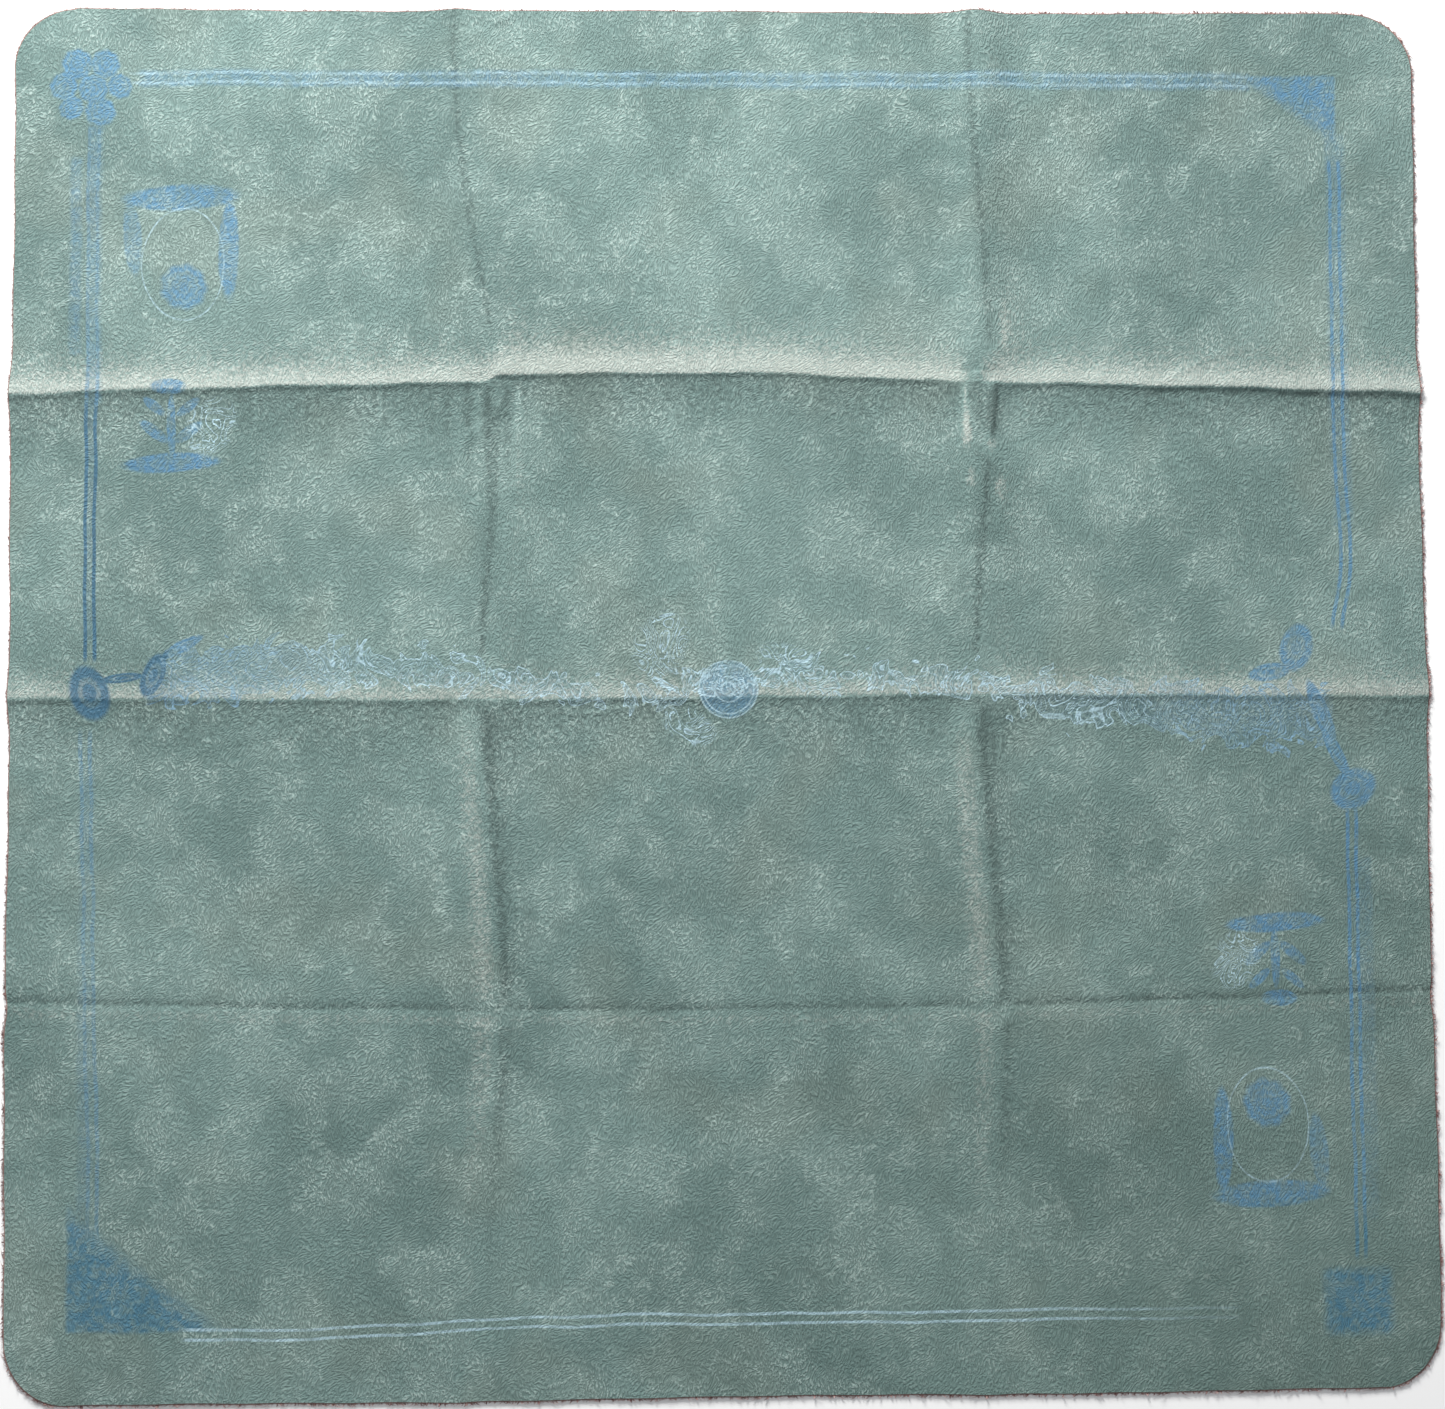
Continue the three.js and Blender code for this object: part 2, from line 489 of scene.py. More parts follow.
def between(tree, value, low, high, out_low=0.0, out_high=1.0):
    """value mapped smoothly from the range low to high on to out_low to out_high."""
    made = add_node(tree, "ShaderNodeMapRange", interpolation_type="SMOOTHSTEP")
    tree.links.new(value, made.inputs["Value"])
    made.inputs["From Min"].default_value = low
    made.inputs["From Max"].default_value = high
    made.inputs["To Min"].default_value = out_low
    made.inputs["To Max"].default_value = out_high
    return made.outputs["Result"]


def noise(tree, vector, scale, detail=2.0, rough=0.5):
    """Value of a noise texture at vector, about 0 to 1."""
    made = add_node(tree, "ShaderNodeTexNoise", noise_dimensions="2D", Vector=vector, Scale=scale,
                    Detail=detail, Roughness=rough)
    return made.outputs["Fac"]


def mixed(tree, share, first, second):
    """Colour mix from first to second by share, on a Mix node's colour sockets, 6 and 7."""
    made = tree.nodes.new("ShaderNodeMix")
    made.data_type = "RGBA"
    for socket, value in ((made.inputs[0], share), (made.inputs[6], first), (made.inputs[7], second)):
        if hasattr(value, "is_output"):
            tree.links.new(value, socket)
        else:
            socket.default_value = value
    return made.outputs[2]


def times(tree, *values):
    """The product of sockets and numbers."""
    result = values[0]
    for value in values[1:]:
        result = maths(tree, "MULTIPLY", result, value)
    return result


def placed(tree, vector, centre=(0, 0), turn=0.0, size=(1, 1)):
    """vector in mm moved so that centre is 0, turned back by turn, and divided by size, so that
    a pattern on it is size times as large and lies at that angle."""
    made = add_node(tree, "ShaderNodeMapping", vector_type="TEXTURE", Vector=vector)
    made.inputs["Location"].default_value = (centre[0], centre[1], 0)
    made.inputs["Rotation"].default_value = (0, 0, turn)
    made.inputs["Scale"].default_value = (size[0], size[1], 1)
    return made.outputs["Vector"]


def rest_place_mm(tree):
    """The rest_place attribute in mm, flattened to the plane of the sheet."""
    rest = add_node(tree, "ShaderNodeAttribute", attribute_name="rest_place")
    flat = add_node(tree, "ShaderNodeVectorMath", operation="MULTIPLY")
    tree.links.new(rest.outputs["Vector"], flat.inputs[0])
    flat.inputs[1].default_value = (1 / MM, 1 / MM, 0)
    return flat.outputs[0]


def drifted(tree, vector, scale, reach):
    """vector pushed about by up to reach mm by a slow noise, so lines on it wander."""
    drift = add_node(tree, "ShaderNodeTexNoise", noise_dimensions="2D", Vector=vector, Scale=scale,
                     Detail=1.0)
    shifted = add_node(tree, "ShaderNodeVectorMath", operation="MULTIPLY_ADD")
    tree.links.new(drift.outputs["Color"], shifted.inputs[0])
    shifted.inputs[1].default_value = (reach, reach, 0)
    tree.links.new(vector, shifted.inputs[2])
    return placed(tree, shifted.outputs[0], (reach / 2, reach / 2))


def split(tree, vector):
    """The x and y of a vector, as two sockets."""
    made = add_node(tree, "ShaderNodeSeparateXYZ", Vector=vector)
    return made.outputs["X"], made.outputs["Y"]


def polar(tree, vector):
    """Distance from 0 and angle about it, as two sockets."""
    away = add_node(tree, "ShaderNodeVectorMath", operation="LENGTH")
    tree.links.new(vector, away.inputs[0])
    x, y = split(tree, vector)
    return away.outputs["Value"], maths(tree, "ARCTAN2", y, x)


def band(tree, value, centre, half, blur):
    """1 within half of centre, falling to 0 over blur."""
    away = maths(tree, "ABSOLUTE", maths(tree, "SUBTRACT", value, centre))
    return between(tree, away, half, half + blur, 1.0, 0.0)


def double_rule(tree, value, first, second, half, blur):
    """Two parallel ruled lines where value is first and where it is second."""
    first_line = band(tree, value, first, half, blur)
    second_line = band(tree, value, second, half, blur)
    return maths(tree, "MAXIMUM", first_line, second_line)


def block(tree, x, y, low, high, blur):
    """1 inside the rectangle from low to high, falling to 0 over blur outside it."""
    across = band(tree, x, (low[0] + high[0]) / 2, (high[0] - low[0]) / 2, blur)
    along = band(tree, y, (low[1] + high[1]) / 2, (high[1] - low[1]) / 2, blur)
    return times(tree, across, along)


def rosette(tree, vector, centre, radius, petals):
    """A disc with a petalled rim and pale rings inside it."""
    distance, angle = polar(tree, placed(tree, vector, centre, 0.3, (radius, radius)))
    petal = maths(tree, "COSINE", times(tree, angle, petals))
    wavy = maths(tree, "MULTIPLY_ADD", petal, 0.04, distance)
    disc = between(tree, wavy, 0.9, 1.08, 1.0, 0.0)
    rings = between(tree, maths(tree, "SINE", times(tree, wavy, 18)), -0.8, 0.2, 0.6, 1.0)
    return times(tree, disc, rings)


def most(tree, values):
    """The largest of several sockets."""
    result = values[0]
    for value in values[1:]:
        result = maths(tree, "MAXIMUM", result, value)
    return result


def print_masks(tree, place):
    """Two sockets: where the soft blue ink lies, and where the crisp pale lines lie. The print
    is a double border line, a bunch or corner piece in each corner, a hanging lantern and a
    plant in a dish at each side, and a band of scrolls with a ringed medallion across the
    middle. Places and sizes are in mm from the middle of the mat."""
    wavy = drifted(tree, place, 0.035, 1.8)
    x, y = split(tree, wavy)
    tracery = between(tree, noise(tree, wavy, 0.3, 1.0), 0.38, 0.56, 0.55, 1.0)
    soft = []
    crisp = []

    # Borders: strong above the middle at the left, a waving ribbon at the right, faint below
    left_run = block(tree, x, y, (-240, 14), (-210, 200), 3)
    left_strength = between(tree, y, 90, 125, 1.0, 0.55)
    soft.append(times(tree, double_rule(tree, x, -223.6, -220.4, 0.4, 0.5), left_run, left_strength))
    drawn_in = maths(tree, "MULTIPLY_ADD", y, 0.022, x)
    lower_run = block(tree, x, y, (-240, -205), (-205, -16), 6)
    soft.append(times(tree, double_rule(tree, drawn_in, -225.0, -221.8, 0.4, 0.6), lower_run, 0.55))
    ribbon_reach = between(tree, y, 20, 90, 2.4, 0.0)
    ribbon_x = maths(tree, "MULTIPLY_ADD", maths(tree, "SINE", times(tree, y, 0.09)), ribbon_reach, x)
    right_run = block(tree, x, y, (205, 24), (235, 190), 3)
    soft.append(times(tree, double_rule(tree, ribbon_x, 219.4, 222.8, 0.4, 0.5), right_run))
    low_run = block(tree, x, y, (205, -196), (240, -44), 5)
    soft.append(times(tree, double_rule(tree, x, 220.6, 223.6, 0.4, 0.5), low_run))
    top_run = block(tree, x, y, (-207, 212), (188, 228), 4)
    crisp.append(times(tree, double_rule(tree, y, 221.9, 218.5, 0.3, 0.4), top_run, tracery, 0.42))
    bottom_run = block(tree, x, y, (-186, -228), (176, -214), 4)
    risen = maths(tree, "SUBTRACT", y, between(tree, x, -160, -40, 0.0, 3.4))
    fade = between(tree, x, 90, 180, 0.75, 0.15)
    crisp.append(times(tree, double_rule(tree, risen, -219.6, -222.9, 0.3, 0.35), bottom_run, fade))

    # Ink that has spread beside the border lines
    for low, high, strength in (((-229, 122), (-227, 190), 0.42), ((-223, 104), (-220, 204), 0.36),
                                ((-223, 20), (-221, 104), 0.3), ((219, 60), (224, 200), 0.28),
                                ((223, -185), (228, -60), 0.22), ((-205, 218), (190, 222), 0.5),
                                ((-224, -205), (-221, -25), 0.22)):
        soft.append(times(tree, block(tree, x, y, low, high, 2.0), tracery, strength))

    # Corners: a bunch of rosettes, two triangles of tracery, one rounded square
    for dx, dy, radius in ((-5, 8, 5.6), (5, 8, 5.2), (-10, 0, 5.0), (0.5, -1, 5.4), (10, 0, 4.6),
                           (3, -9.5, 5.4), (-7, -8, 4.4)):
        soft.append(rosette(tree, wavy, (-223 + dx, 217 + dy), radius, 8))
    for corner_x, corner_y, way, wide, tall in ((222, 222, -1, 38, 27), (-228, -220, 1, 58, 46)):
        run_x = times(tree, maths(tree, "SUBTRACT", x, corner_x), way)
        run_y = times(tree, maths(tree, "SUBTRACT", y, corner_y), way)
        slope = maths(tree, "MULTIPLY_ADD", run_x, 1 / wide, times(tree, run_y, 1 / tall))
        inside = times(tree, between(tree, run_x, -1, 1), between(tree, run_y, -1, 1))
        soft.append(times(tree, inside, between(tree, slope, 0.75, 1.0, 1.0, 0.0), tracery))
    soft.append(times(tree, block(tree, x, y, (212, -223), (230, -206), 5), tracery))

    # Side ornaments: a hanging lantern, and a plant in a low dish. The right pair is the left
    # pair turned half way round, so both are drawn on one place that is turned for the right
    half_turn = between(tree, x, -1, 1, 1.0, -1.0)
    mirror = add_node(tree, "ShaderNodeVectorMath", operation="SCALE", Scale=half_turn)
    tree.links.new(wavy, mirror.inputs[0])
    side = mirror.outputs[0]
    # Each shape is an ellipse: its centre, its two radii, how far it is turned, and its strength
    lantern_roof = ((-191, 177), (20, 4.6), 0.05, 1.0)
    lantern_drops = (((-174, 158), (3.6, 18), 0.0, 1.0), ((-208, 162), (3.2, 13), 0.1, 0.6))
    dish = ((-194, 82), (17, 3.4), 0.05, 1.0)
    flower = ((-195, 109), (6.5, 2.8), 0.0, 1.0)
    stem = ((-194, 95), (1.6, 11), 0.0, 0.9)
    leaves = (((-188, 93), (6, 2.0), 0.7, 0.8), ((-200, 93), (6, 2.0), -0.7, 0.8),
              ((-188, 102), (5, 1.7), 0.7, 0.8), ((-200, 102), (5, 1.7), -0.7, 0.8))
    for centre, radii, turn, strength in (lantern_roof, *lantern_drops, dish, flower, stem, *leaves):
        distance, _ = polar(tree, placed(tree, side, centre, turn, radii))
        soft.append(times(tree, between(tree, distance, 0.85, 1.12, 1.0, 0.0), tracery, strength))

    # The lantern's lamp: a petalled disc, low inside a thin pale oval
    soft.append(times(tree, rosette(tree, side, (-190, 145), 8.4, 9), 0.95))
    from_oval, _ = polar(tree, placed(tree, side, (-190, 153), 0.0, (14.5, 20)))
    crisp.append(times(tree, band(tree, from_oval, 1.0, 0.006, 0.02), tracery, 0.6))

    # The ends of the middle band: a bulb on a stem at the left, and a spray of leaves at the
    # right. Each shape is an ellipse: its centre, its two radii, and how far it is turned
    bulb = (((-222, 1), (7, 10.5), 0.35), ((-211, 6), (8, 1.8), 0.12), ((-200, 7), (4.2, 8.5), -0.35),
            ((-190, 17), (9, 2.2), 0.5))
    spray = (((204, 15), (6, 9), -0.3), ((194, 6), (8, 3.2), 0.2), ((212, -8), (3.2, 13), 0.35),
             ((217, -22), (2.6, 11), 0.5), ((223, -35), (9, 7), 0.5))
    for centre, radii, turn in bulb + spray:
        distance, _ = polar(tree, placed(tree, wavy, centre, turn, radii))
        rings = between(tree, maths(tree, "SINE", times(tree, distance, 11)), -0.9, 0.3, 0.6, 1.0)
        soft.append(times(tree, between(tree, distance, 0.88, 1.05, 1.0, 0.0), rings, 0.95))

    # Middle band: curling lines inside a tapering envelope, blue at its ends and pale between
    arch = times(tree, maths(tree, "SINE", times(tree, maths(tree, "ADD", x, 215), 0.021)), 9)
    arch_share = between(tree, x, -60, -20, 1.0, 0.0)
    path = maths(tree, "MULTIPLY_ADD", arch, arch_share, between(tree, x, -20, 30, 2.0, 7.0))
    path = maths(tree, "ADD", path, between(tree, x, 20, 215, 0.0, -17.0))
    off_path = maths(tree, "ABSOLUTE", maths(tree, "SUBTRACT", y, path))
    half = between(tree, maths(tree, "ABSOLUTE", x), 60, 190, 3.0, 9.0)
    curls = add_node(tree, "ShaderNodeTexNoise", noise_dimensions="2D", Vector=wavy, Scale=0.09,
                     Detail=1.5, Distortion=1.4)
    rim = maths(tree, "MULTIPLY_ADD", maths(tree, "SUBTRACT", curls.outputs["Fac"], 0.5), 22.0, half)
    past_rim = maths(tree, "SUBTRACT", off_path, rim)
    in_run = block(tree, x, y, (-200, -45), (214, 45), 3)
    envelope = times(tree, between(tree, past_rim, -1.0, 0.3, 1.0, 0.0), in_run)
    turns = maths(tree, "FRACT", times(tree, curls.outputs["Fac"], 9))
    line = band(tree, turns, 0.5, 0.07, 0.09)
    outline = times(tree, band(tree, past_rim, 0.0, 0.2, 0.3), in_run)
    scroll = maths(tree, "MAXIMUM", times(tree, line, envelope, tracery), outline)
    far_out = between(tree, maths(tree, "ABSOLUTE", maths(tree, "ADD", x, -5)), 100, 190)
    soft.append(times(tree, scroll, far_out))
    soft.append(times(tree, envelope, between(tree, far_out, 0.0, 1.0, 0.14, 0.26)))
    crisp.append(times(tree, scroll, between(tree, far_out, 0.0, 1.0, 0.95, 0.3)))
    ring_distance, _ = polar(tree, placed(tree, wavy, (1.6, 1.1)))
    for ring in (10.2, 8.8, 4.6, 2.4):
        crisp.append(times(tree, band(tree, ring_distance, ring, 0.1, 0.35), 0.7))
    soft.append(times(tree, between(tree, ring_distance, 9.5, 10.5, 1.0, 0.0), 0.6))

    # Clumps of crisp curls: three about the medallion, and one beside each plant
    for centre, radii in (((-22, 17), (9, 12)), ((27, 8), (16, 7)), ((-12, -12), (10, 6)),
                          ((-180, 95), (8, 11)), ((180, -95), (8, 11))):
        distance, _ = polar(tree, placed(tree, wavy, centre, -0.5, radii))
        crisp.append(times(tree, line, between(tree, distance, 0.8, 1.15, 1.0, 0.0), 0.95))
    return most(tree, soft), most(tree, crisp)


def suede_material():
    """Embossed faux suede: short raised strokes that lean up to the right or stand upright, their tops
    painted pale as a painted highlight in cloudy patches and the low grain between them darkened as
    painted shade, creases rubbed pale with a painted highlight and painted shade beside them, painted
    shade towards the lower right corner, a faded print, and a soft low sheen."""
    material = bpy.data.materials.new("embossed_suede")
    material.use_nodes = True
    tree = material.node_tree
    shader = tree.nodes["Principled BSDF"]
    place = rest_place_mm(tree)

    # Strokes about 1.5 mm long, leaning in some regions and upright in others, cut by finer grain
    bent = drifted(tree, place, 0.11, 5.0)
    leaning = noise(tree, placed(tree, bent, (31, 7), 0.85, (1.35, 0.58)), 1.0, 1.0)
    upright = noise(tree, placed(tree, bent, (3, 57), 1.5, (1.35, 0.55)), 1.0, 1.0)
    region = between(tree, noise(tree, place, 0.022, 2.0), 0.44, 0.56)
    grain = add_node(tree, "ShaderNodeMix")
    tree.links.new(region, grain.inputs[0])
    tree.links.new(leaning, grain.inputs[2])
    tree.links.new(upright, grain.inputs[3])
    ridges = between(tree, grain.outputs[0], 0.51, 0.59)
    fine = noise(tree, place, 1.1, 2.0, 0.65)
    cut = between(tree, fine, 0.43, 0.51)
    strokes = times(tree, ridges, cut)

    # Cloudy paler patches, where the painted highlight on the strokes is strongest, and sparse thin
    # wrinkle lines
    clouds = noise(tree, place, 0.034, 4.0, 0.62)
    pale_patches = between(tree, clouds, 0.40, 0.64)
    blotches = noise(tree, placed(tree, place, (140, 60)), 0.011, 3.0, 0.55)
    wander = noise(tree, placed(tree, place, (70, -140), 0.5, (1.6, 1.0)), 0.03, 4.0, 0.5)
    thin_lines = band(tree, wander, 0.53, 0.002, 0.006)
    wrinkles = times(tree, thin_lines, between(tree, clouds, 0.44, 0.52), cut)

    dark_green = (0.120, 0.196, 0.184, 1)
    mid_green = (0.162, 0.254, 0.239, 1)
    pale_and_glint_green = (0.370, 0.480, 0.450, 1)
    deep_green = (0.055, 0.100, 0.092, 1)
    colour = mixed(tree, between(tree, blotches, 0.32, 0.68), dark_green, mid_green)
    colour = mixed(tree, times(tree, pale_patches, 0.16), colour, pale_and_glint_green)
    warm = between(tree, noise(tree, placed(tree, place, (-310, 90)), 0.02, 2.0), 0.52, 0.72)
    warm_green = (0.215, 0.245, 0.200, 1)
    colour = mixed(tree, times(tree, warm, 0.2), colour, warm_green)
    # Darker where the grain is low between the strokes: painted shade in its hollows
    colour = mixed(tree, between(tree, grain.outputs[0], 0.50, 0.34, 0.0, 0.30), colour, deep_green)
    # The tops of the raised strokes are painted pale in patches: a painted highlight where they catch
    # the light, on top of the bump
    patches = between(tree, noise(tree, place, 0.1, 3.0, 0.6), 0.36, 0.62, 0.25, 1.0)
    stroke_glint_share = times(tree, strokes, patches, between(tree, pale_patches, 0.0, 1.0, 0.32, 0.90))
    pale_and_glint_share = maths(tree, "MAXIMUM", stroke_glint_share, times(tree, wrinkles, 0.7))
    colour = mixed(tree, pale_and_glint_share, colour, pale_and_glint_green)
    colour = mixed(tree, between(tree, fine, 0.42, 0.72, 0.0, 0.14), colour, deep_green)

    # The creases: pale speckle where they are rubbed and carry a painted highlight, and painted shade
    # beside them
    worn_and_shading = add_node(tree, "ShaderNodeAttribute", attribute_name="crease_wear_and_shading").outputs["Fac"]
    ragged = between(tree, noise(tree, place, 0.55, 3.0, 0.7), 0.3, 0.7, -0.22, 0.22)
    any_crease_mark = between(tree, maths(tree, "ABSOLUTE", worn_and_shading), 0.0, 0.2)
    worn_and_shading = maths(tree, "ADD", worn_and_shading, times(tree, ragged, any_crease_mark))
    speckle = between(tree, fine, 0.36, 0.60, 0.62, 1.0)
    rubbed_highlight_buff = (0.42, 0.46, 0.425, 1)
    painted_crease_shade_green = (0.048, 0.080, 0.075, 1)
    rubbed_and_highlight = times(tree, between(tree, worn_and_shading, 0.05, 0.95), speckle, 0.85)
    colour = mixed(tree, rubbed_and_highlight, colour, rubbed_highlight_buff)
    colour = mixed(tree, between(tree, worn_and_shading, -0.02, -0.7, 0.0, 0.75), colour, painted_crease_shade_green)

    # Darker, deeper green towards the lower right corner: painted shade, where the light falls off there
    place_x, place_y = split(tree, place)
    painted_falloff_shade = times(tree, between(tree, place_x, -80, 240), between(tree, place_y, 60, -240), 0.40)
    painted_falloff_green = (0.080, 0.125, 0.105, 1)
    colour = mixed(tree, painted_falloff_shade, colour, painted_falloff_green)

    # The print sits in the pile: broken by the grain, and worn where the pile is rubbed. It is
    # deepest at the left above the middle crease, and along the bottom edge
    dark_ink = (0.050, 0.165, 0.310, 1)
    faded_ink = (0.110, 0.255, 0.375, 1)
    low_ink = (0.035, 0.140, 0.205, 1)
    deep_ink = (0.008, 0.070, 0.130, 1)
    pale_ink = (0.390, 0.560, 0.640, 1)
    soft_ink, crisp_ink = print_masks(tree, place)
    hold = between(tree, noise(tree, place, 0.16, 3.0, 0.7), 0.30, 0.60, 0.5, 1.0)
    broken = between(tree, strokes, 0.0, 1.0, 0.88, 0.58)
    deep_run = block(tree, place_x, place_y, (-232, -8), (-212, 100), 6)
    deep_bulb = block(tree, place_x, place_y, (-232, -8), (-196, 18), 4)
    deep_run = maths(tree, "MAXIMUM", deep_run, deep_bulb)
    low_edge = block(tree, place_x, place_y, (-245, -245), (245, -190), 16)
    ink_tone = mixed(tree, blotches, dark_ink, faded_ink)
    ink_tone = mixed(tree, times(tree, low_edge, 0.75), ink_tone, low_ink)
    ink_tone = mixed(tree, times(tree, deep_run, 0.7), ink_tone, deep_ink)
    cover = most(tree, (times(tree, hold, broken), times(tree, deep_run, 0.85),
                        times(tree, low_edge, 0.72)))
    colour = mixed(tree, times(tree, soft_ink, cover), colour, ink_tone)
    colour = mixed(tree, times(tree, crisp_ink, hold, 0.95), colour, pale_ink)
    tree.links.new(colour, shader.inputs["Base Color"])

    roughness = between(tree, maths(tree, "MULTIPLY_ADD", fine, 0.5, strokes), 0.0, 1.2, 0.75, 0.52)
    tree.links.new(roughness, shader.inputs["Roughness"])
    shader.inputs["Specular IOR Level"].default_value = 0.35
    shader.inputs["Sheen Weight"].default_value = 0.08
    shader.inputs["Sheen Roughness"].default_value = 0.5

    relief = maths(tree, "MULTIPLY_ADD", strokes, 0.6, between(tree, grain.outputs[0], 0.35, 0.58))
    height = maths(tree, "MULTIPLY_ADD", fine, 0.5, relief)
    bump = add_node(tree, "ShaderNodeBump", Height=height, Strength=1.0, Distance=0.00013)
    tree.links.new(bump.outputs["Normal"], shader.inputs["Normal"])
    return material


suede = suede_material()
facing_inset = 0.35
sheet_undersides = {}
for strip, (low_y, high_y, first, second, _) in strips.items():
    for column, (low_x, high_x) in columns.items():
        x, y = laid_grid(column, strip, facing_inset)
        under = sheet_lift(x, y)
        sheet_undersides[strip, column] = under
        mesh = slab_mesh("suede_" + strip + "_" + column, x, y,
                         under + sheet_thickness - facing_thickness, under + sheet_thickness)
        # Crease colour marks: rubbed pile with a painted highlight on the ridges, and painted shade
        # beside them
        wear_and_shading = mesh.attributes.new("crease_wear_and_shading", "FLOAT", "POINT")
        wear_and_shading.data.foreach_set("value", np.tile(crease_wear_and_shading(x, y).ravel(), 2).astype(np.float32))
        piece = add_piece("suede_" + strip + "_" + column, mesh, suede)
        fold_with_mat(piece)
        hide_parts("facing_" + first + "_" + column, "facing_" + second + "_" + column)

# ---------------------------------------------------------------------------------------------
# Brushed backing: 0.4 mm of dusty rose brown cloth, bonded under the facing and cut with it.
# It spreads a little past the facing at the cut, where it shows as a thin pale line.
# ---------------------------------------------------------------------------------------------


def brushed_cloth_material():
    """Brushed tricot: short fibres combed one way, in mottled dusty rose and brown."""
    material = bpy.data.materials.new("brushed_cloth")
    material.use_nodes = True
    tree = material.node_tree
    shader = tree.nodes["Principled BSDF"]
    place = rest_place_mm(tree)
    combed = noise(tree, placed(tree, place, (0, 0), 0.2, (1.4, 0.22)), 1.0, 3.0, 0.65)
    mottle = noise(tree, place, 0.08, 4.0, 0.6)
    pile = noise(tree, place, 1.6, 3.0, 0.7)
    rose_brown = (0.200, 0.115, 0.100, 1)
    dusty_rose = (0.265, 0.160, 0.142, 1)
    pale_rose = (0.370, 0.255, 0.232, 1)
    dark_brown = (0.140, 0.075, 0.066, 1)
    colour = mixed(tree, between(tree, mottle, 0.28, 0.75), rose_brown, dusty_rose)
    colour = mixed(tree, between(tree, combed, 0.4, 0.68, 0.0, 0.4), colour, pale_rose)
    colour = mixed(tree, between(tree, pile, 0.5, 0.75, 0.0, 0.35), colour, dark_brown)
    tree.links.new(colour, shader.inputs["Base Color"])
    tree.links.new(between(tree, combed, 0.3, 0.7, 0.98, 0.85), shader.inputs["Roughness"])
    shader.inputs["Specular IOR Level"].default_value = 0.2
    shader.inputs["Sheen Weight"].default_value = 0.2
    shader.inputs["Sheen Roughness"].default_value = 0.4
    height = maths(tree, "ADD", combed, maths(tree, "MULTIPLY", pile, 0.6))
    bump = add_node(tree, "ShaderNodeBump", Height=height, Strength=0.7, Distance=0.0002)
    tree.links.new(bump.outputs["Normal"], shader.inputs["Normal"])
    return material


brushed_cloth = brushed_cloth_material()
backing_low, backing_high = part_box("backing_upper_centre")
backing_thickness = (backing_high[2] - backing_low[2]) / MM
cloth_pieces = {}
for strip, (_, _, first, second, _) in strips.items():
    for column in columns:
        x, y = laid_grid(column, strip, 0.0)
        under = sheet_undersides[strip, column]
        mesh = slab_mesh("cloth_" + strip + "_" + column, x, y, under, under + backing_thickness)
        piece = add_piece("cloth_" + strip + "_" + column, mesh, brushed_cloth)
        fold_with_mat(piece)
        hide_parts("backing_" + first + "_" + column, "backing_" + second + "_" + column)
        cloth_pieces[strip, column] = piece

# ---------------------------------------------------------------------------------------------
# Edge lint: the raw cut sheds short curled fibres of the backing, thickest along the bottom and
# right edges, where some mat together into nubs. Each is three sided, and is rooted in the
# backing's cut face.
# ---------------------------------------------------------------------------------------------


thinnest_half = 0.09
nub_half = 0.36
tallest_half = 0.13
lowest_fibre = 0.14


def lint_mesh(name, roots, outward, rng, longest):
    """Hairs from the roots (mm) that leave along outward, curl sideways and sink: the centre
    line is root + outward t + side t^2 curl, with a triangular section that tapers to a tip and
    is never taller than the cloth."""
    count = len(roots)
    steps = 4
    t = np.linspace(0, 1, steps)[None, :, None]
    length = (0.25 + longest * rng.random(count) ** 2.2)[:, None, None]
    side = np.stack([-outward[:, 1], outward[:, 0]], -1)[:, None, :]
    turn = rng.normal(0, 0.6, count)[:, None, None]
    curl = rng.normal(0, 0.7, count)[:, None, None]
    away = outward[:, None, :] * t * (1 - 0.25 * t) + side * (turn * t + curl * t ** 2)
    flat = roots[:, None, :2] + length * away
    rise = rng.normal(0.05, 0.25, count)[:, None]
    z = roots[:, None, 2] + length[:, :, 0] * rise * t[:, :, 0]
    z = np.maximum(z, lowest_fibre)
    centre = np.concatenate([flat, z[:, :, None]], -1)
    thick = thinnest_half + nub_half * rng.random(count) ** 2.5
    thick = thick[:, None] * (1 - 0.75 * t[0, :, 0] ** 2)[None, :]
    corners = []
    for k in range(3):
        angle = k * 2 * np.pi / 3
        offset = side * np.cos(angle)
        shift = np.concatenate([np.broadcast_to(offset, flat.shape) * thick[:, :, None],
                                (np.sin(angle) * np.minimum(thick, tallest_half))[:, :, None]], -1)
        corners.append(centre + shift)
    points = np.stack(corners, 2).reshape(-1, 3) * MM
    base = np.arange(count)[:, None, None] * steps * 3
    ring = np.arange(steps - 1)[None, :, None] * 3
    k = np.arange(3)[None, None, :]
    after = (k + 1) % 3
    here = base + ring
    quads = np.stack([here + k, here + after, here + 3 + after, here + 3 + k], -1).reshape(-1, 4)
    root_caps = np.arange(count)[:, None] * steps * 3 + np.array([2, 1, 0])
    tip_caps = np.arange(count)[:, None] * steps * 3 + (steps - 1) * 3 + np.array([0, 1, 2])
    mesh = bpy.data.meshes.new(name)
    mesh.from_pydata(points.tolist(), [], quads.tolist() + root_caps.tolist() + tip_caps.tolist())
    mesh.update()
    kept = mesh.attributes.new("rest_place", "FLOAT_VECTOR", "POINT")
    kept.data.foreach_set("vector", points.astype(np.float32).ravel())
    return mesh


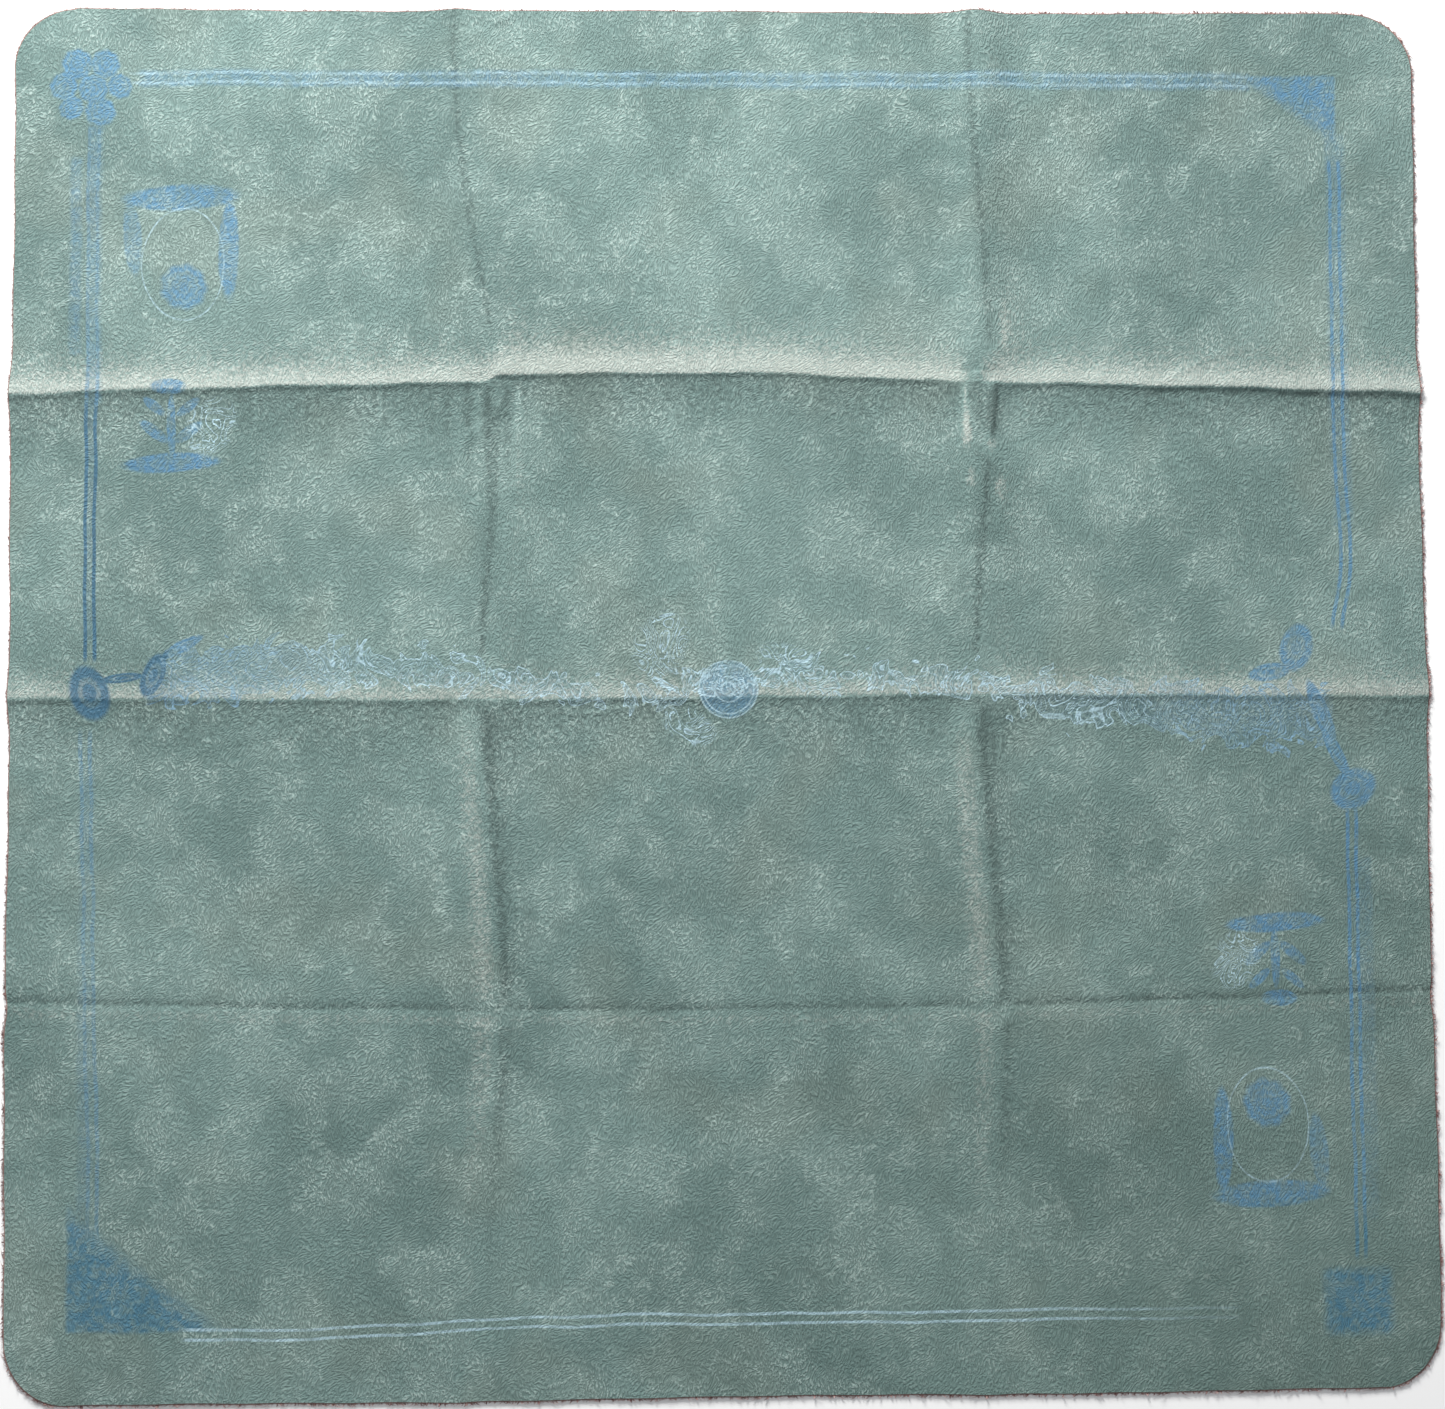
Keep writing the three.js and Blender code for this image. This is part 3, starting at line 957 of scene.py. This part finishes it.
def lint_material():
    """Loose cut fibres: pale rose to dark maroon brown along the edge."""
    material = bpy.data.materials.new("edge_lint")
    material.use_nodes = True
    tree = material.node_tree
    shader = tree.nodes["Principled BSDF"]
    patch = noise(tree, rest_place_mm(tree), 0.9, 2.0, 0.6)
    maroon = (0.13, 0.048, 0.045, 1)
    rose = (0.42, 0.27, 0.25, 1)
    colour = mixed(tree, between(tree, patch, 0.38, 0.62), maroon, rose)
    tree.links.new(colour, shader.inputs["Base Color"])
    tree.links.new(between(tree, patch, 0.3, 0.7, 0.95, 0.8), shader.inputs["Roughness"])
    shader.inputs["Sheen Weight"].default_value = 0.3
    return material


lint = lint_material()
rng = np.random.default_rng(5)
root_inset = 0.1
for strip, column in cloth_pieces:
    x, y = laid_grid(column, strip, root_inset)
    heavy = strip == "bottom" or column == "right"
    fibres_per_mm = 4.6 if heavy else 2.6
    longest = 1.5 if heavy else 0.8
    runs = []
    if strip == "top":
        runs.append((x[-1], y[-1]))
    if strip == "bottom":
        runs.append((x[0][::-1], y[0][::-1]))
    if column == "left":
        runs.append((x[:, 0], y[:, 0]))
    if column == "right":
        runs.append((x[::-1, -1], y[::-1, -1]))
    if not runs:
        continue
    all_roots = []
    all_out = []
    for run_x, run_y in runs:
        travelled = np.concatenate([[0], np.cumsum(np.hypot(np.diff(run_x), np.diff(run_y)))])
        count = int(travelled[-1] * fibres_per_mm)
        at = np.sort(rng.uniform(0.5, travelled[-1] - 0.5, count))
        root_x = np.interp(at, travelled, run_x)
        root_y = np.interp(at, travelled, run_y)
        ahead_x = np.interp(at + 0.4, travelled, run_x) - np.interp(at - 0.4, travelled, run_x)
        ahead_y = np.interp(at + 0.4, travelled, run_y) - np.interp(at - 0.4, travelled, run_y)
        out = np.stack([-ahead_y, ahead_x], -1)
        out /= np.linalg.norm(out, axis=1, keepdims=True) + 1e-9
        root_z = sheet_lift(root_x, root_y) + backing_thickness * rng.uniform(0.2, 0.8, count)
        all_roots.append(np.stack([root_x, root_y, root_z], -1))
        all_out.append(out)
    mesh = lint_mesh("lint_" + strip + "_" + column, np.concatenate(all_roots),
                     np.concatenate(all_out), rng, longest)
    piece = add_piece("lint_" + strip + "_" + column, mesh, lint)
    fold_with_mat(piece)

for (strip, column), cloth in cloth_pieces.items():
    low_x, high_x = columns[column]
    low_y, high_y = strips[strip][:2]
